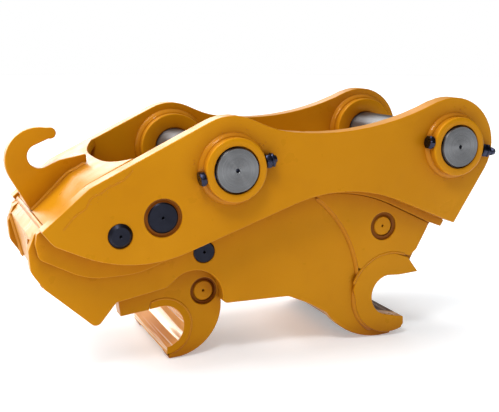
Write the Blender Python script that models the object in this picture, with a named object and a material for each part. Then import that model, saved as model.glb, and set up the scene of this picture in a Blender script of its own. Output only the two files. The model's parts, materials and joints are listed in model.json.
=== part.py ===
"""Hydraulic pin-grab quick coupler for an excavator of about 20 tonnes.

The drawing plane is X-Z: the stick pin is its origin and the link pin lies on +X.
Y runs across the coupler, and the near side is -Y. Drawing sizes are millimetres.
The coupler stands on its two hooks, so the drawing is tilted by a few degrees.
"""
import math

import bmesh
import bpy
from mathutils import Matrix, Vector
from mathutils.geometry import tessellate_polygon

MM = 0.001
GAP = 0.3
ARC_ERROR = 0.22
MAX_ARC_STEP = 12.0

# Pins and the two hooks
PIN_SPACING = 460.0
PIN_R = 40.0
PIN_HALF = 226.5
PIN_LEAD, PIN_LEAD_DEPTH = 1.7, 7.0
MOUTH_R = 41.0
MOVING_MOUTH = (-122.0, -297.0)
FIXED_MOUTH = (341.0, -296.0)

# Distances from the middle plane, across the coupler
UPPER_IN, UPPER_OUT = 165.0, 200.0
DOUBLER_IN, DOUBLER_OUT = 150.0, 165.0
LOWER_IN, LOWER_OUT = 125.0, 150.0
CHEEK_OUT = 158.0
HOOK_IN, HOOK_OUT = 88.0, 120.0
OUTER_BOSS_FACE = 223.0
INNER_BOSS_FACE = 140.0

OUTER_BOSS_R = 57.0
INNER_BOSS_R = 71.0
EAR_R = 93.0

# Linkage pins in the drawing plane
HOOK_PIVOT = (-44.0, -156.0)
ROD_PIN = (-39.0, -239.0)
BASE_PIN = (328.0, -153.0)
LATCH_PIN = (-131.0, -73.0)
STOP_PIN = (-208.0, -95.0)
SMALL_PIN_R = 20.0
LATCH_PIN_R = 27.0
STOP_PIN_R = 21.0
PIN_RECESS_R = 26.0
CHEEK_RECESS_R = 28.0
LATCH_RECESS_R = 34.0
RECESS_DEPTH = 5.0

# Cylinder, measured along its axis from the base pin
BARREL_R, BORE_R = 45.0, 32.5
ROD_R = 20.0
EYE_R = 34.0
ROD_EYE_PLAY = 2.2
CYLINDER_LENGTH = math.dist(BASE_PIN, ROD_PIN)

# Safety latch, about the latch pin
LATCH_ANGLE = -29.5
LATCH_REACH = 73.0
LATCH_GAP = 6.0
LATCH_HALF_WIDTH = 40.0

# Nose plates
NOSE_TOP = (-254.0, -8.0)
NOSE_EDGE = (-327.0, -72.0)
NOSE_FRONT = (-348.0, -97.0)
NOSE_FOOT = (-331.0, -187.0)
NOSE_PLATE = 16.0

# Retaining bolts through the near ends of the two big pins
BOLT_Y = -212.5
BOLT_R = 8.0
HEX_R = 13.85
STICK_BOLT_ANGLE = 9.0
LINK_BOLT_ANGLE = -12.0
STICK_BOLT_TAIL = 5.0
LINK_BOLT_TAIL = 15.0

SIDES = (("near", -1), ("far", 1))


# ---------------------------------------------------------------- outlines
def arc(cx, cz, radius, start, end):
    """Points on an arc, in degrees, fine enough to stay within ARC_ERROR of the true curve."""
    step = min(MAX_ARC_STEP, math.degrees(2 * math.acos(1 - ARC_ERROR / radius)))
    count = max(2, math.ceil(abs(end - start) / step))
    angles = [math.radians(start + (end - start) * i / count) for i in range(count + 1)]
    return [(cx + radius * math.cos(a), cz + radius * math.sin(a)) for a in angles]


def fillet(before, corner, after, radius):
    """The arc that rounds one corner of an outline."""
    to_before = (Vector(before) - Vector(corner)).normalized()
    to_after = (Vector(after) - Vector(corner)).normalized()
    half = to_before.angle(to_after) / 2
    centre = Vector(corner) + (to_before + to_after).normalized() * (radius / math.sin(half))
    first = Vector(corner) + to_before * (radius / math.tan(half)) - centre
    last = Vector(corner) + to_after * (radius / math.tan(half)) - centre
    start = math.degrees(math.atan2(first.y, first.x))
    sweep = (math.degrees(math.atan2(last.y, last.x)) - start + 180) % 360 - 180
    return arc(centre.x, centre.y, radius, start, start + sweep)


def outline(*items):
    """A closed outline from points (x, z), rounded corners (x, z, radius) and arcs (lists)."""
    runs = [item if isinstance(item, list) else [item[:2]] for item in items]
    points = []
    for i, item in enumerate(items):
        if isinstance(item, list) or len(item) == 2:
            points += runs[i]
        else:
            after = runs[(i + 1) % len(runs)][0]
            points += fillet(runs[i - 1][-1], item[:2], after, item[2])
    return points


def circle(centre, radius, count=None):
    """A closed circle as an outline."""
    if count is None:
        return arc(*centre, radius, 0, 360)[:-1]
    turns = [2 * math.pi * (i + 0.5) / count for i in range(count)]
    return [(centre[0] + radius * math.cos(a), centre[1] + radius * math.sin(a)) for a in turns]


def on_ray(origin, angle, distance):
    """The point at a distance from origin in a direction given in degrees."""
    a = math.radians(angle)
    return (origin[0] + distance * math.cos(a), origin[1] + distance * math.sin(a))


# ---------------------------------------------------------------- scene
def clear_scene():
    for obj in list(bpy.data.objects):
        bpy.data.objects.remove(obj)


def material(name, color, roughness, metallic):
    made = bpy.data.materials.new(name)
    made.use_nodes = True
    shader = made.node_tree.nodes["Principled BSDF"]
    shader.inputs["Base Color"].default_value = (*color, 1)
    shader.inputs["Roughness"].default_value = roughness
    shader.inputs["Metallic"].default_value = metallic
    return made


def empty(name, parent=None, pivot=(0.0, 0.0)):
    made = bpy.data.objects.new(name, None)
    bpy.context.scene.collection.objects.link(made)
    made.parent = parent
    made.location = (pivot[0] * MM, 0, pivot[1] * MM)
    return made


class Body:
    """A rigid group of pieces whose empty sits on the group's joint axis."""

    def __init__(self, name, pivot=(0.0, 0.0), frame=None):
        self.pivot = pivot
        self.empty = empty(name, frame and frame.empty, pivot)

    def add(self, name, bm, finish):
        """Make an object from a bmesh that is drawn in millimetres in the drawing's own axes."""
        shift = Matrix.Translation((-self.pivot[0], 0, -self.pivot[1]))
        bmesh.ops.transform(bm, matrix=Matrix.Scale(MM, 4) @ shift, verts=bm.verts)
        bmesh.ops.recalc_face_normals(bm, faces=bm.faces)
        mesh = bpy.data.meshes.new(name)
        bm.to_mesh(mesh)
        bm.free()
        obj = bpy.data.objects.new(name, mesh)
        obj.parent = self.empty
        bpy.context.scene.collection.objects.link(obj)
        mesh.materials.append(material(name, *finish))
        mesh.shade_smooth()
        mesh.set_sharp_from_angle(angle=math.radians(30))
        return obj


# ---------------------------------------------------------------- solids
def ring_of(bm, points, y):
    return [bm.verts.new((x, y, z)) for x, z in points]


def wall(bm, ring_a, ring_b):
    for i in range(len(ring_a)):
        j = (i + 1) % len(ring_a)
        bm.faces.new((ring_a[i], ring_a[j], ring_b[j], ring_b[i]))


def cap(bm, rings):
    """Fill an outer ring around its inner rings with flat triangles."""
    flat = [[Vector((v.co.x, v.co.z, 0)) for v in ring] for ring in rings]
    verts = [v for ring in rings for v in ring]
    for triangle in tessellate_polygon(flat):
        bm.faces.new([verts[i] for i in triangle])


def plate(points, y_a, y_b, holes=()):
    """A plate cut to an outline between two depths.

    A hole is (centre, radius), or (centre, radius, recess radius), whose recess is cut
    into the face at y_b.
    """
    bm = bmesh.new()
    ends = ([ring_of(bm, points, y_a)], [ring_of(bm, points, y_b)])
    wall(bm, ends[0][0], ends[1][0])
    for centre, radius, *recess in holes:
        bore = circle(centre, radius)
        back = ring_of(bm, bore, y_a)
        ends[0].append(back)
        if recess:
            wide = circle(centre, recess[0], len(bore))
            bore = circle(centre, radius, len(bore))
            for vert, (x, z) in zip(back, bore):
                vert.co = (x, y_a, z)
            floor_y = y_b - math.copysign(RECESS_DEPTH, y_b - y_a)
            floor_in, floor_out = ring_of(bm, bore, floor_y), ring_of(bm, wide, floor_y)
            mouth = ring_of(bm, wide, y_b)
            wall(bm, back, floor_in)
            wall(bm, floor_in, floor_out)
            wall(bm, floor_out, mouth)
        else:
            mouth = ring_of(bm, bore, y_b)
            wall(bm, back, mouth)
        ends[1].append(mouth)
    cap(bm, ends[0])
    cap(bm, ends[1])
    return bm


def turned(profile, start, direction, sides=48):
    """A turned piece. Its closed profile is (height, radius), with height along direction."""
    bm = bmesh.new()
    axis = Vector(direction).normalized()
    turn = Vector((0, 0, 1)).rotation_difference(axis).to_matrix().to_4x4()
    place = Matrix.Translation(start) @ turn
    rings = []
    for height, radius in profile:
        if radius == 0:
            rings.append([bm.verts.new(place @ Vector((0, 0, height)))])
            continue
        angles = [2 * math.pi * i / sides for i in range(sides)]
        spots = [Vector((radius * math.cos(a), radius * math.sin(a), height)) for a in angles]
        rings.append([bm.verts.new(place @ spot) for spot in spots])
    for i, ring in enumerate(rings):
        after = rings[(i + 1) % len(rings)]
        if len(ring) == len(after) == sides:
            wall(bm, ring, after)
        elif len(ring) + len(after) > 2:
            centre, rim = (ring[0], after) if len(ring) == 1 else (after[0], ring)
            for j in range(sides):
                bm.faces.new((centre, rim[j], rim[(j + 1) % sides]))
    return bm


def across(centre, profile, sides=48):
    """A turned piece whose axis runs across the coupler."""
    return turned(profile, (centre[0], 0, centre[1]), (0, 1, 0), sides)


def rod_profile(half, radius, chamfer):
    return [(-half, 0), (-half, radius - chamfer), (-half + chamfer, radius),
            (half - chamfer, radius), (half, radius - chamfer), (half, 0)]


def drilled(obj, body, centre, angle, radius, half_length):
    """Drill a radial bolt hole across a pin or a boss."""
    run = Vector((math.cos(math.radians(angle)), 0, math.sin(math.radians(angle))))
    middle = Vector((centre[0], BOLT_Y, centre[1]))
    bm = turned([(0, 0), (0, radius), (2 * half_length, radius), (2 * half_length, 0)],
                middle - run * half_length, run, 20)
    cutter = body.add(obj.name + "_drill", bm, CUTTER)
    cutter.hide_render = True
    cutter.display_type = "WIRE"
    cut = obj.modifiers.new("bolt_hole", "BOOLEAN")
    cut.operation = "DIFFERENCE"
    cut.solver = "EXACT"
    cut.object = cutter


# ---------------------------------------------------------------- finishes
YELLOW = ((0.54, 0.22, 0.012), 0.32, 0.0)
HOOK_YELLOW = ((0.50, 0.20, 0.012), 0.34, 0.0)
STEEL = ((0.55, 0.55, 0.54), 0.28, 1.0)
BLACK_PIN = ((0.012, 0.013, 0.018), 0.38, 0.6)
BLACK_BOLT = ((0.015, 0.017, 0.028), 0.35, 0.7)
CHROME = ((0.75, 0.76, 0.78), 0.10, 1.0)
CYLINDER_PAINT = ((0.02, 0.02, 0.022), 0.4, 0.0)
SPRING_STEEL = ((0.18, 0.18, 0.19), 0.35, 1.0)
CUTTER = ((0.5, 0.5, 0.5), 0.5, 0.0)


# ---------------------------------------------------------------- side plates
def upper_outline():
    """The outer ear plate: a rising nose, two ears with a sweep between, an arched foot."""
    return outline(
        (-338, -72.5, 2),
        (*NOSE_TOP, 60),
        arc(0, 0, EAR_R, 113.5, 64),
        (91, 59, 205),
        arc(213, 625.5, 578.5, -99, -68.4),
        arc(PIN_SPACING, 0, EAR_R, 108, -33.8),
        (464, -155, 2),
        (229.5, -44.7, 306),
        (-186.8, -169.1, 250),
        (-320, -98.3, 25),
    )


def inside_top():
    """The hidden upper edge of the two inner plates, under the roof and clear of the bosses."""
    return [(-330.5, -76.5), (-319, -89), (-250, -30, 20), (-112, -30, 12), (-72, -80, 12),
            (52, -80, 12), (86, -40, 12), (370, -40, 12), (424, -104, 8)]


def doubler_outline():
    return outline(
        (-345, -100, 10),
        (-341, -81, 5),
        *inside_top(),
        (464, -157),
        (457, -168),
        (431, -157),
        (229.5, -49, 306),
        (-40, -133, 80),
        (-172, -175, 150),
        (-262, -172.5, 120),
        (-341, -126, 14),
    )


def fixed_mouth_edge():
    """The upper jaw tip, the mouth and the lower jaw tip of the fixed hook."""
    return [(392, -235), (407, -257, 1), (364, -258, 30), arc(*FIXED_MOUTH, MOUTH_R, 96, 255),
            (372, -347), (372, -362, 2), (367, -368)]


def lower_outline():
    """The inner plate: the nose, the arched gap over the moving hook, the belly, the fixed hook."""
    return outline(
        (-356, -113, 10),
        (-343, -84, 6),
        *inside_top(),
        (441, -161),
        (408, -208, 4),
        *fixed_mouth_edge(),
        (349, -370),
        (344, -380, 1),
        arc(325, -236, 145, 273, 212),
        (164, -288, 30),
        (122, -267, 20),
        (-11, -260, 9),
        arc(-67, -243, 55, 2, 122),
        (-118, -213, 24),
        (-212, -226, 4),
        (-250, -268, 12),
        (-336, -182, 25),
        (-355, -150, 25),
    )


def cheek_outline():
    """The doubler round the cylinder base pin, on the outside of the fixed hook."""
    return outline(
        arc(30, -266.4, 243.5, 51.8, 8.4),
        arc(*FIXED_MOUTH, 89, 135, 76),
        (388, -222, 6),
        (404, -210, 4),
        (431, -166, 3),
        (430, -157.9),
        arc(198, -379.4, 305.2, 61.8, 93),
    )


def hook_ring_outline():
    """The wear pad round the fixed hook's mouth."""
    return outline(
        (385, -224, 10),
        *fixed_mouth_edge(),
        arc(*FIXED_MOUTH, 78, 290, 178),
        arc(*FIXED_MOUTH, 85, 165, 80),
    )


def moving_hook_outline():
    mouth = MOUTH_R + 14 + GAP
    return outline(
        (-200, -263, 1),
        (-203, -226, 5),
        arc(*HOOK_PIVOT, 48, 150, 5),
        arc(-103, -263, 97.5, 12, -83),
        (-114, -360),
        (-116.5, -352),
        arc(*MOVING_MOUTH, mouth, -86, 112),
        (-146, -259.2),
    )


def moving_saddle_outline():
    """The curved seat that the grabbed pin bears on, from lip to lip."""
    mouth = MOUTH_R + 14
    return outline(
        arc(*MOVING_MOUTH, mouth, 111.5, -85.5),
        (-117, -338),
        arc(*MOVING_MOUTH, MOUTH_R, -83, 105),
        (-145.2, -258.8),
    )


def side_pair(body, name, points, y_in, y_out, holes, finish):
    for side, sign in SIDES:
        body.add(f"{name}_{side}", plate(points, sign * y_in, sign * y_out, holes), finish)


def build_side_plates(frame):
    big = [((0, 0), PIN_R + GAP), ((PIN_SPACING, 0), PIN_R + GAP)]
    latch_holes = [(LATCH_PIN, LATCH_PIN_R + GAP), (STOP_PIN, STOP_PIN_R + GAP)]
    recessed = [(LATCH_PIN, LATCH_PIN_R + GAP, LATCH_RECESS_R), (STOP_PIN, STOP_PIN_R + GAP)]
    linkage = [(HOOK_PIVOT, SMALL_PIN_R + GAP), (BASE_PIN, SMALL_PIN_R + GAP)]
    side_pair(frame, "upper_side_plate", upper_outline(), UPPER_IN, UPPER_OUT, big + recessed, YELLOW)
    side_pair(frame, "doubler_plate", doubler_outline(), DOUBLER_IN + GAP, DOUBLER_OUT - GAP,
              latch_holes, YELLOW)
    side_pair(frame, "lower_side_plate", lower_outline(), LOWER_IN, LOWER_OUT,
              latch_holes + linkage, YELLOW)
    side_pair(frame, "fixed_hook_cheek", cheek_outline(), LOWER_OUT + GAP, CHEEK_OUT,
              [(BASE_PIN, SMALL_PIN_R + GAP, CHEEK_RECESS_R)], YELLOW)
    side_pair(frame, "fixed_hook_pad", hook_ring_outline(), LOWER_OUT + GAP, CHEEK_OUT, [], YELLOW)


# ---------------------------------------------------------------- cross plates
def slab(path, thickness):
    """An outline of even thickness on the right-hand side of a path of points."""
    near = [Vector(point) for point in path]
    far = []
    for i, point in enumerate(near):
        runs = []
        if i > 0:
            runs.append((point - near[i - 1]).normalized())
        if i < len(near) - 1:
            runs.append((near[i + 1] - point).normalized())
        normals = [Vector((run.y, -run.x)) for run in runs]
        middle = sum(normals, Vector((0, 0))).normalized()
        far.append(point + middle * (thickness / middle.dot(normals[0])))
    return [tuple(p) for p in near] + [tuple(p) for p in reversed(far)]


def nose_top_plate():
    """The nose's roof, bent along its middle, with a swept rear edge that clears the stick."""
    half = UPPER_IN - GAP
    edge_mid, edge_side, strips = -201.0, -168.0, 16
    rise = (52 - NOSE_TOP[1]) / (-120 - NOSE_TOP[0])
    bm = bmesh.new()
    rings = []
    for i in range(strips + 1):
        across_y = -half + 2 * half * i / strips
        rear = edge_mid + (edge_side - edge_mid) * abs(across_y / half) ** 3
        top = [NOSE_EDGE, NOSE_TOP, (rear, NOSE_TOP[1] + rise * (rear - NOSE_TOP[0]))]
        rings.append(ring_of(bm, slab(top, NOSE_PLATE), across_y))
    for a, b in zip(rings, rings[1:]):
        wall(bm, a, b)
    for ring in (rings[0], rings[-1]):
        bm.faces.new((ring[0], ring[1], ring[4], ring[5]))
        bm.faces.new((ring[1], ring[2], ring[3], ring[4]))
    return bm


def lifting_hook_outline():
    """A gooseneck that stands on the roof of the nose and opens to the rear."""
    base = NOSE_TOP[1] + GAP + 0.5
    rise = (52 - NOSE_TOP[1]) / (-120 - NOSE_TOP[0])
    return outline(
        (-327, -71),
        arc(-304, 20, 61, 205, 75),
        arc(-280, 68.3, 10.5, 75, -110),
        arc(-303, 28, 22, 102, 285),
        (-268, 18, 20),
        (-218, 25, 3),
        (-218, base + rise * (-218 - NOSE_TOP[0])),
        (NOSE_TOP[0] - 0.2, base),
    )


def build_cross_plates(frame):
    half = LOWER_IN - GAP
    frame.add("nose_top_plate", nose_top_plate(), YELLOW)
    front = slab([NOSE_FOOT, NOSE_FRONT, (-331, -76.5)], NOSE_PLATE)
    frame.add("nose_front_plate", plate(front, -half, half), YELLOW)
    frame.add("lifting_hook", plate(lifting_hook_outline(), -12.5, 12.5), YELLOW)
    deck = outline((34, -98), (34, -86), (372, -88), (372, -100))
    frame.add("deck_plate", plate(deck, -half, half), YELLOW)
    rear = slab([(388, -232), (424, -164), (394, -112), (372.5, -100.5)], -14)
    frame.add("rear_cross_plate", plate(rear, -half, half), YELLOW)
    belly = slab([(92, -256), (124, -258), (205, -295), (250, -341)], 12)
    frame.add("belly_plate", plate(belly, -half, half), YELLOW)
    saddle = outline(arc(*FIXED_MOUTH, MOUTH_R + 16, 72, 250), (350, -352), (372, -362), (372, -347),
                     arc(*FIXED_MOUTH, MOUTH_R, 255, 72))
    frame.add("fixed_hook_saddle", plate(saddle, -half, half), YELLOW)


# ---------------------------------------------------------------- bosses and big pins
def build_bosses_and_pins(frame):
    bore = PIN_R + GAP
    centres = {"stick": ((0, 0), STICK_BOLT_ANGLE, STICK_BOLT_TAIL),
               "link": ((PIN_SPACING, 0), LINK_BOLT_ANGLE, LINK_BOLT_TAIL)}
    for place, (centre, angle, tail) in centres.items():
        for side, sign in SIDES:
            base, face = UPPER_OUT + GAP, OUTER_BOSS_FACE
            profile = [(sign * base, bore), (sign * base, OUTER_BOSS_R), (sign * (face - 2), OUTER_BOSS_R),
                       (sign * face, OUTER_BOSS_R - 2), (sign * face, bore)]
            boss = frame.add(f"{place}_outer_boss_{side}", across(centre, profile, 56), YELLOW)
            if sign < 0:
                drilled(boss, frame, centre, angle, BOLT_R + GAP, OUTER_BOSS_R + 20)
            base, face = UPPER_IN - GAP, INNER_BOSS_FACE
            profile = [(sign * base, bore), (sign * base, INNER_BOSS_R), (sign * (face + 2), INNER_BOSS_R),
                       (sign * face, INNER_BOSS_R - 2), (sign * face, bore)]
            frame.add(f"{place}_inner_boss_{side}", across(centre, profile, 56), YELLOW)
        pin = frame.add(f"{place}_pin", across(centre, big_pin_profile(), 56), STEEL)
        drilled(pin, frame, centre, angle, BOLT_R + GAP, PIN_R + 20)
        build_retaining_bolt(frame, place, centre, angle, tail)


def big_pin_profile():
    """A pin with a tapered lead and a small centre hole in each end."""
    shoulder = PIN_HALF - PIN_LEAD_DEPTH
    outer = [(-PIN_HALF, PIN_R - PIN_LEAD), (-shoulder, PIN_R), (shoulder, PIN_R),
             (PIN_HALF, PIN_R - PIN_LEAD)]
    hole, depth = 4.0, 12.0
    return ([(-PIN_HALF + depth, 0), (-PIN_HALF + depth, hole), (-PIN_HALF, hole)] + outer
            + [(PIN_HALF, hole), (PIN_HALF - depth, hole), (PIN_HALF - depth, 0)])


def build_retaining_bolt(frame, place, centre, angle, tail):
    """A cross bolt with a nut and a lock nut, which stops the big pin from walking out."""
    run = Vector((math.cos(math.radians(angle)), 0, math.sin(math.radians(angle))))
    middle = Vector((centre[0], BOLT_Y, centre[1]))
    seat = OUTER_BOSS_R + 0.6
    head, nut, lock = 10.0, 10.0, 6.0
    tip = seat + nut + GAP + lock + tail
    bolt = turned([(-seat - head, 0), (-seat - head, HEX_R), (-seat, HEX_R), (-seat, BOLT_R),
                   (tip - 1.5, BOLT_R), (tip, BOLT_R - 1.5), (tip, 0)], middle, run, 6)
    frame.add(f"{place}_pin_bolt", bolt, BLACK_BOLT)
    hole = BOLT_R + GAP
    for name, start, height in (("nut", seat, nut), ("lock_nut", seat + nut + GAP, lock)):
        profile = [(start, hole), (start, HEX_R), (start + height, HEX_R), (start + height, hole)]
        frame.add(f"{place}_pin_{name}", turned(profile, middle, run, 6), BLACK_BOLT)


# ---------------------------------------------------------------- linkage pins
def build_linkage_pins(frame, hook):
    frame.add("hook_pivot_pin", across(HOOK_PIVOT, rod_profile(LOWER_OUT + 2, SMALL_PIN_R, 1.5), 40),
              BLACK_PIN)
    frame.add("cylinder_base_pin", across(BASE_PIN, rod_profile(CHEEK_OUT - 3, SMALL_PIN_R, 2), 40),
              YELLOW)
    frame.add("latch_pin", across(LATCH_PIN, rod_profile(UPPER_OUT - 1, LATCH_PIN_R, 1.5), 44),
              BLACK_PIN)
    frame.add("latch_stop_pin", across(STOP_PIN, rod_profile(UPPER_OUT + 4, STOP_PIN_R, 3), 40),
              BLACK_PIN)
    hook.add("cylinder_rod_pin", across(ROD_PIN, rod_profile(HOOK_OUT - 3, SMALL_PIN_R, 2), 40),
             HOOK_YELLOW)


# ---------------------------------------------------------------- moving hook
def build_moving_hook(hook):
    holes = [(HOOK_PIVOT, SMALL_PIN_R + GAP), (ROD_PIN, SMALL_PIN_R + GAP, PIN_RECESS_R)]
    side_pair(hook, "moving_hook_plate", moving_hook_outline(), HOOK_IN, HOOK_OUT, holes, HOOK_YELLOW)
    hook.add("moving_hook_saddle", plate(moving_saddle_outline(), -HOOK_OUT, HOOK_OUT), HOOK_YELLOW)
    inner = HOOK_IN - GAP
    hub = [(-inner, SMALL_PIN_R + GAP), (-inner, EYE_R), (inner, EYE_R), (inner, SMALL_PIN_R + GAP)]
    hook.add("moving_hook_hub", across(HOOK_PIVOT, hub, 40), HOOK_YELLOW)
    back = outline(arc(-103, -263, 97, -75, -22), arc(-103, -263, 85, -22, -75))
    hook.add("moving_hook_back_plate", plate(back, -inner, inner), HOOK_YELLOW)
    hook.add("latch_block", plate(latch_block_outline(), -inner, inner), HOOK_YELLOW)


def latch_block_outline():
    """A shoulder on the hub that the safety latch stands against."""
    reach = LATCH_REACH + LATCH_GAP
    low = on_ray(LATCH_PIN, LATCH_ANGLE - 5, reach)
    high = on_ray(LATCH_PIN, LATCH_ANGLE + 5, reach)
    return outline(low, high, (-36, -104, 4), (-30, -121),
                   arc(*HOOK_PIVOT, EYE_R + GAP, 66, 118))


# ---------------------------------------------------------------- cylinder
def cylinder_axis():
    run = Vector((ROD_PIN[0] - BASE_PIN[0], 0, ROD_PIN[1] - BASE_PIN[1]))
    return Vector((BASE_PIN[0], 0, BASE_PIN[1])), run.normalized()


def along_cylinder(profile, sides=48):
    start, run = cylinder_axis()
    return turned(profile, start, run, sides)


def eye_outline(centre, bore_side, neck, half_neck):
    """An eye with a neck that reaches from its pin along the cylinder."""
    run = Vector((ROD_PIN[0] - BASE_PIN[0], ROD_PIN[1] - BASE_PIN[1])).normalized() * bore_side
    side = Vector((-run.y, run.x)) * half_neck
    middle = Vector(centre)
    heading = math.degrees(math.atan2(run.y, run.x))
    spread = math.degrees(math.asin(half_neck / EYE_R))
    return outline(tuple(middle + run * neck - side), tuple(middle + run * neck + side),
                   arc(*centre, EYE_R, heading + spread, heading + 360 - spread))


def build_cylinder(barrel, rod):
    wall_r = SMALL_PIN_R + GAP
    eye = eye_outline(BASE_PIN, 1, 45.0, 26.0)
    barrel.add("cylinder_base_eye", plate(eye, -28, 28, [(BASE_PIN, wall_r)]), CYLINDER_PAINT)
    tube = [(45.3, 0), (45.3, BARREL_R - 3), (48.3, BARREL_R), (250, BARREL_R), (250, BORE_R),
            (62, BORE_R), (62, 0)]
    barrel.add("cylinder_barrel", along_cylinder(tube), CYLINDER_PAINT)
    spigot = BORE_R - GAP
    gland = [(232, ROD_R + GAP), (232, spigot), (250.3, spigot), (250.3, BARREL_R), (263, BARREL_R),
             (266, BARREL_R - 3), (266, ROD_R + GAP)]
    barrel.add("cylinder_gland", along_cylinder(gland), BLACK_BOLT)
    start, run = cylinder_axis()
    up = Vector((run.z, 0, -run.x))
    for name, place in (("base_port_fitting", 78.0), ("rod_port_fitting", 222.0)):
        foot = start + run * place + up * (BARREL_R + GAP)
        fitting = [(0, 0), (0, 11), (9, 11), (9, 7.5), (18, 7.5), (18, 0)]
        barrel.add(name, turned(fitting, foot, up, 18), STEEL)
    piston = [(190, ROD_R - 6 + GAP), (190, spigot), (220, spigot), (220, ROD_R - 6 + GAP)]
    rod.add("cylinder_piston", along_cylinder(piston), STEEL)
    shaft = [(186, 0), (186, ROD_R - 6), (220.3, ROD_R - 6), (220.3, ROD_R),
             (CYLINDER_LENGTH - 42, ROD_R), (CYLINDER_LENGTH - 42, 0)]
    rod.add("cylinder_rod", along_cylinder(shaft, 40), CHROME)
    eye = eye_outline(ROD_PIN, -1, 41.7, 24.0)
    rod.add("cylinder_rod_eye", plate(eye, -26, 26, [(ROD_PIN, SMALL_PIN_R + ROD_EYE_PLAY)]),
            CYLINDER_PAINT)


# ---------------------------------------------------------------- safety latch
def build_latch(latch, frame):
    nose = arc(*LATCH_PIN, LATCH_REACH, LATCH_ANGLE - 4.5, LATCH_ANGLE + 4.5)
    points = outline(arc(*LATCH_PIN, 38, 20, 290), nose)
    bore = [(LATCH_PIN, LATCH_PIN_R + GAP)]
    latch.add("safety_latch", plate(points, -LATCH_HALF_WIDTH, LATCH_HALF_WIDTH, bore), YELLOW)
    frame.add("latch_spring", torsion_spring(), SPRING_STEEL)


def torsion_spring():
    """A coil round the latch pin whose long leg lies on the stop pin."""
    coil_r, wire_r, turns, per_turn = 33.0, 3.0, 3.5, 18
    start_y = LATCH_HALF_WIDTH + 5.0
    stop_r = STOP_PIN_R + wire_r + GAP
    to_stop = Vector(STOP_PIN) - Vector(LATCH_PIN)
    heading = math.degrees(math.atan2(to_stop.y, to_stop.x))
    lean = math.degrees(math.acos((coil_r - stop_r) / to_stop.length))
    start = heading - lean
    leg_end = on_ray(STOP_PIN, start, stop_r)
    pitch = 2 * wire_r + 1.2
    path = [Vector((leg_end[0], start_y, leg_end[1]))]
    for i in range(int(turns * per_turn) + 1):
        x, z = on_ray(LATCH_PIN, start - 360 * i / per_turn, coil_r)
        path.append(Vector((x, start_y + pitch * i / per_turn, z)))
    return tube(path, wire_r, 8)


def tube(path, radius, sides):
    """A round wire along a path, with closed ends."""
    bm = bmesh.new()
    rings = []
    for i, point in enumerate(path):
        run = (path[min(i + 1, len(path) - 1)] - path[max(i - 1, 0)]).normalized()
        out = run.cross(Vector((0, 1, 0))).normalized()
        up = out.cross(run).normalized()
        angles = [2 * math.pi * k / sides for k in range(sides)]
        spots = [point + (out * math.cos(a) + up * math.sin(a)) * radius for a in angles]
        rings.append([bm.verts.new(spot) for spot in spots])
    for a, b in zip(rings, rings[1:]):
        wall(bm, a, b)
    bm.faces.new(rings[0])
    bm.faces.new(rings[-1])
    return bm


# ---------------------------------------------------------------- standing on the floor
def stand_on_hooks(frame):
    """Tilt and lift the drawing until both hooks touch Z = 0, and centre its box on X = 0."""
    fixed = [Vector(p) for p in lower_outline()]
    moving = [Vector(p) for p in moving_hook_outline()]
    tilt = 0.0
    for _ in range(20):
        turn = Matrix.Rotation(tilt, 2)
        low = min(fixed, key=lambda p: (turn @ p).y)
        tip = min(moving, key=lambda p: (turn @ p).y)
        tilt = -math.atan2(low.y - tip.y, low.x - tip.x)
    turn = Matrix.Rotation(tilt, 2)
    floor = min((turn @ p).y for p in fixed + moving)
    frame.empty.rotation_euler = (0, -tilt, 0)
    frame.empty.location = (0, 0, -floor * MM)
    bpy.context.view_layer.update()
    corners = [obj.matrix_world @ vert.co for obj in bpy.data.objects
               if obj.type == "MESH" and not obj.hide_render for vert in obj.data.vertices]
    xs = [corner.x for corner in corners]
    frame.empty.location.x = -(min(xs) + max(xs)) / 2
    bpy.context.view_layer.update()


def main():
    clear_scene()
    frame = Body("coupler_frame")
    hook = Body("moving_hook_pivot", HOOK_PIVOT, frame)
    barrel = Body("cylinder_pivot", BASE_PIN, frame)
    rod = Body("cylinder_slide", ROD_PIN, frame)
    latch = Body("safety_latch_pivot", LATCH_PIN, frame)
    build_side_plates(frame)
    build_cross_plates(frame)
    build_bosses_and_pins(frame)
    build_linkage_pins(frame, hook)
    build_moving_hook(hook)
    build_cylinder(barrel, rod)
    build_latch(latch, frame)
    stand_on_hooks(frame)


main()
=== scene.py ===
"""The looks of the quick coupler: enamel over welded plate, turned pins, black fasteners.

The CAD frame fixes every size. Plates keep their CAD outline and get rounded edges, turned
pieces are made again with more sides, and weld beads run along the seams. Shapes are given in
millimetres, which MM turns into metres. Materials, merge distances and the studio are in metres.
A flat place is (along the line of the two big pins, above it).
"""
import json
import math
import random

import bmesh
import bpy
from mathutils import Matrix, Vector, noise
from mathutils.geometry import tessellate_polygon


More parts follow.
